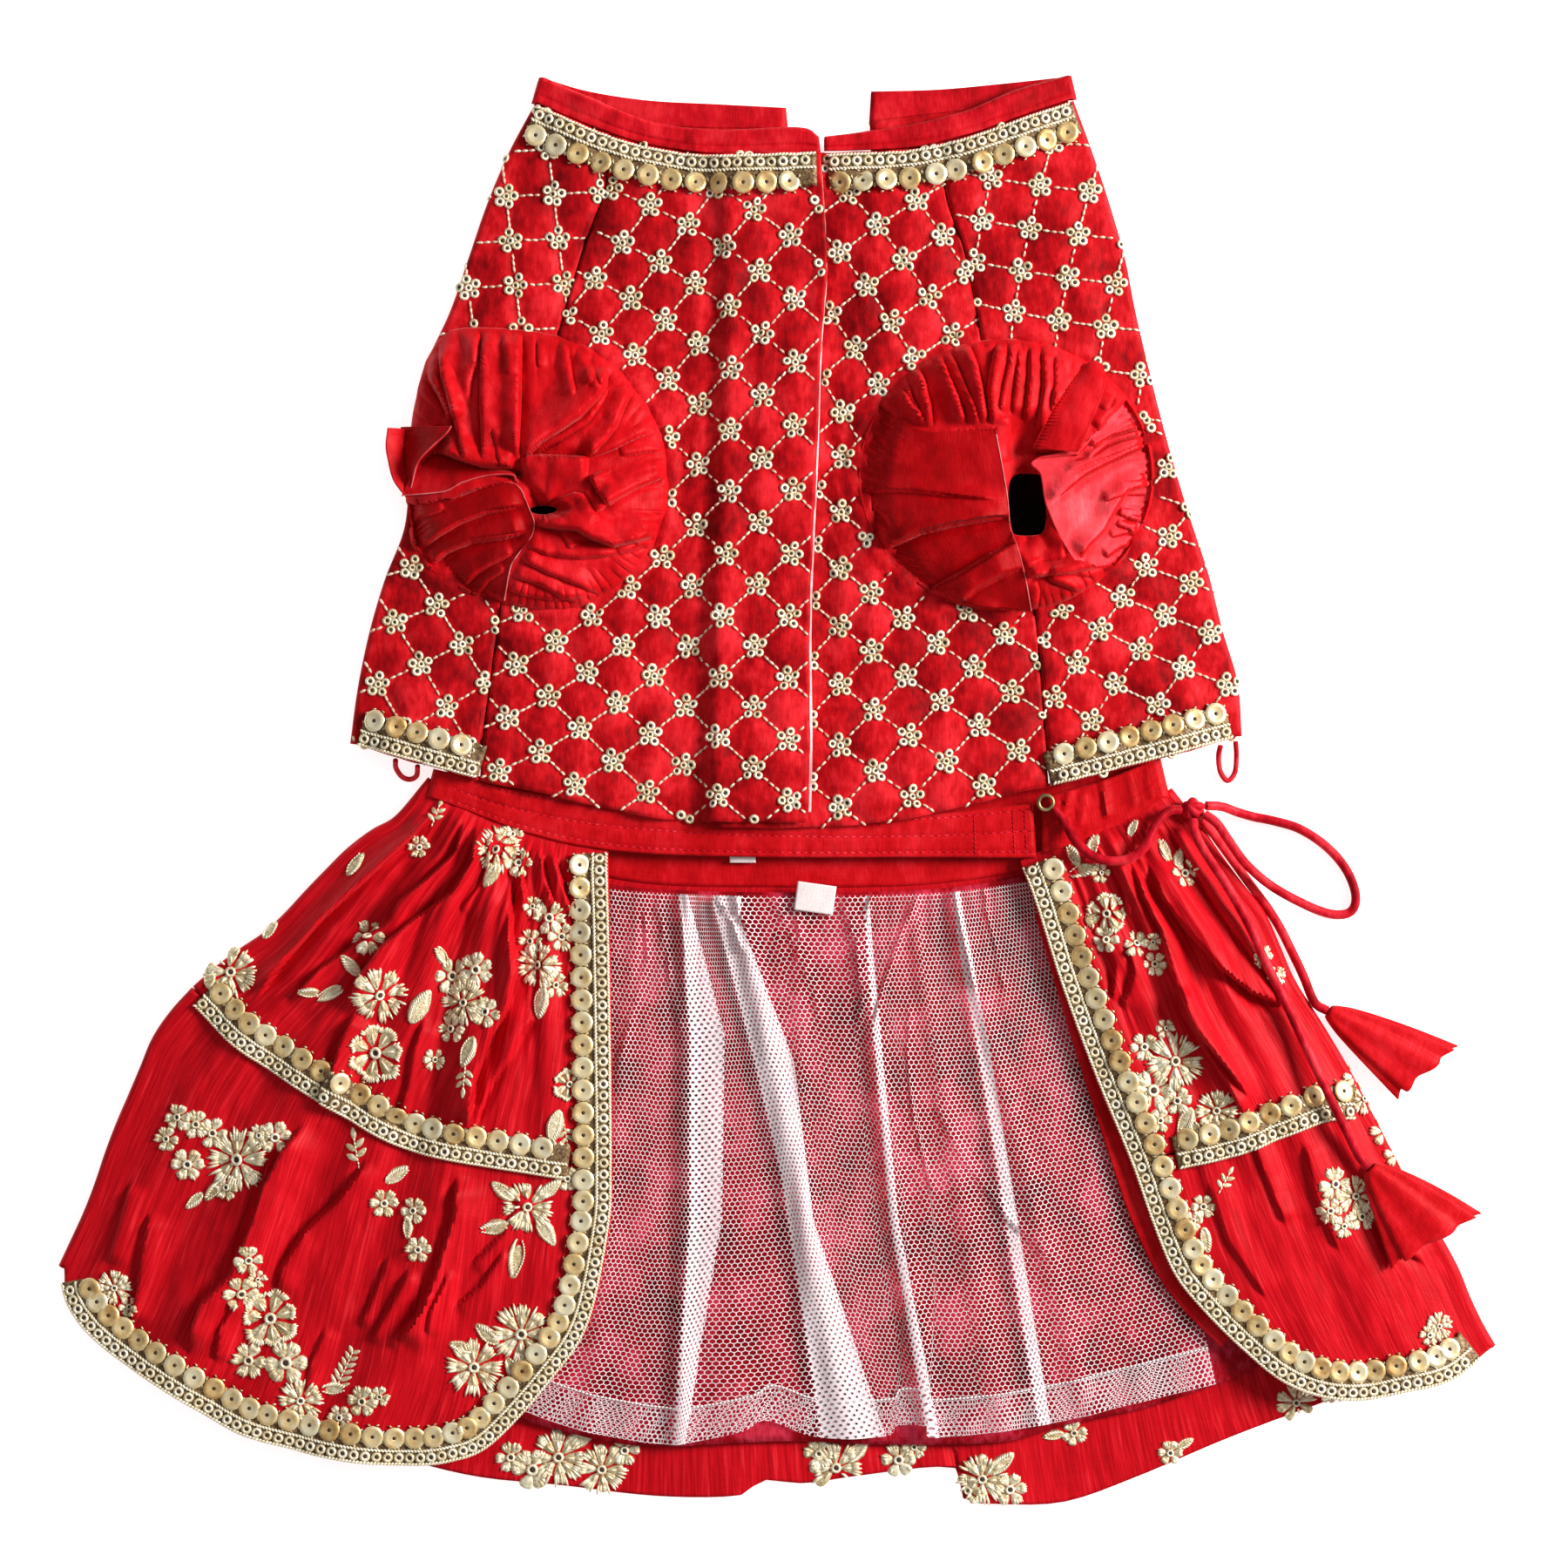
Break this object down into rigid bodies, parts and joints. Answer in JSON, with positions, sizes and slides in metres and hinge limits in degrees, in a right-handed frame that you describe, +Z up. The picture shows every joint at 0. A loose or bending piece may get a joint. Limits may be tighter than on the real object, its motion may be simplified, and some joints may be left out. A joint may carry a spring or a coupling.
{
  "type": "dog lehenga",
  "caption": "Two-piece pet costume laid flat belly side up: a fitted choli with gathered puff sleeves over a flared two-tier skirt with net, gold lace and a cord tie.",
  "frame": {"origin": "on the surface that the garment lies on, under the middle of its outline", "axes": "+X to the garment's right in the view from above, +Y towards the neck, +Z up from the surface"},
  "size_m": [0.397, 0.3947, 0.0137],
  "materials": {
    "choli_satin": "crimson velvety satin with woven gold rings",
    "plain_satin": "plain crimson satin",
    "binding_satin": "plain crimson binding",
    "raw_silk": "crimson slubbed silk with stitched gold flowers",
    "white_net": "white hexagonal net over crimson",
    "gold_lace": "pale gold sequined lace",
    "gold_metal": "polished",
    "red_cord": "twisted crimson cord",
    "white_tape": "matt white tape"
  },
  "bodies": {
    "root": {"choli_back": "choli_satin", "choli_front_left": "choli_satin", "choli_front_right": "choli_satin", "sleeve_left": "plain_satin", "sleeve_right": "plain_satin", "waistband": "plain_satin", "skirt_lining": "plain_satin", "lining_edge_right": "plain_satin", "tassel_long": "plain_satin", "tassel_short": "plain_satin", "neck_binding_left": "binding_satin", "neck_binding_right": "binding_satin", "skirt_yoke": "raw_silk", "skirt_flounce": "raw_silk", "net_lining": "white_net", "neck_lace_left": "gold_lace", "neck_lace_right": "gold_lace", "hem_lace_left": "gold_lace", "hem_lace_right": "gold_lace", "border_lace_left": "gold_lace", "border_lace_right": "gold_lace", "seam_lace_left": "gold_lace", "seam_lace_right": "gold_lace", "eyelet": "gold_metal", "tie_cord_dip": "red_cord", "tie_cord_loop": "red_cord", "tie_cord_tail_long": "red_cord", "tie_cord_tail_short": "red_cord", "tie_knot": "red_cord", "hem_loop_left": "red_cord", "hem_loop_right": "red_cord", "closure_tape": "white_tape", "waist_tape": "white_tape", "size_tag": "white_tape"}
  },
  "joints": []
}
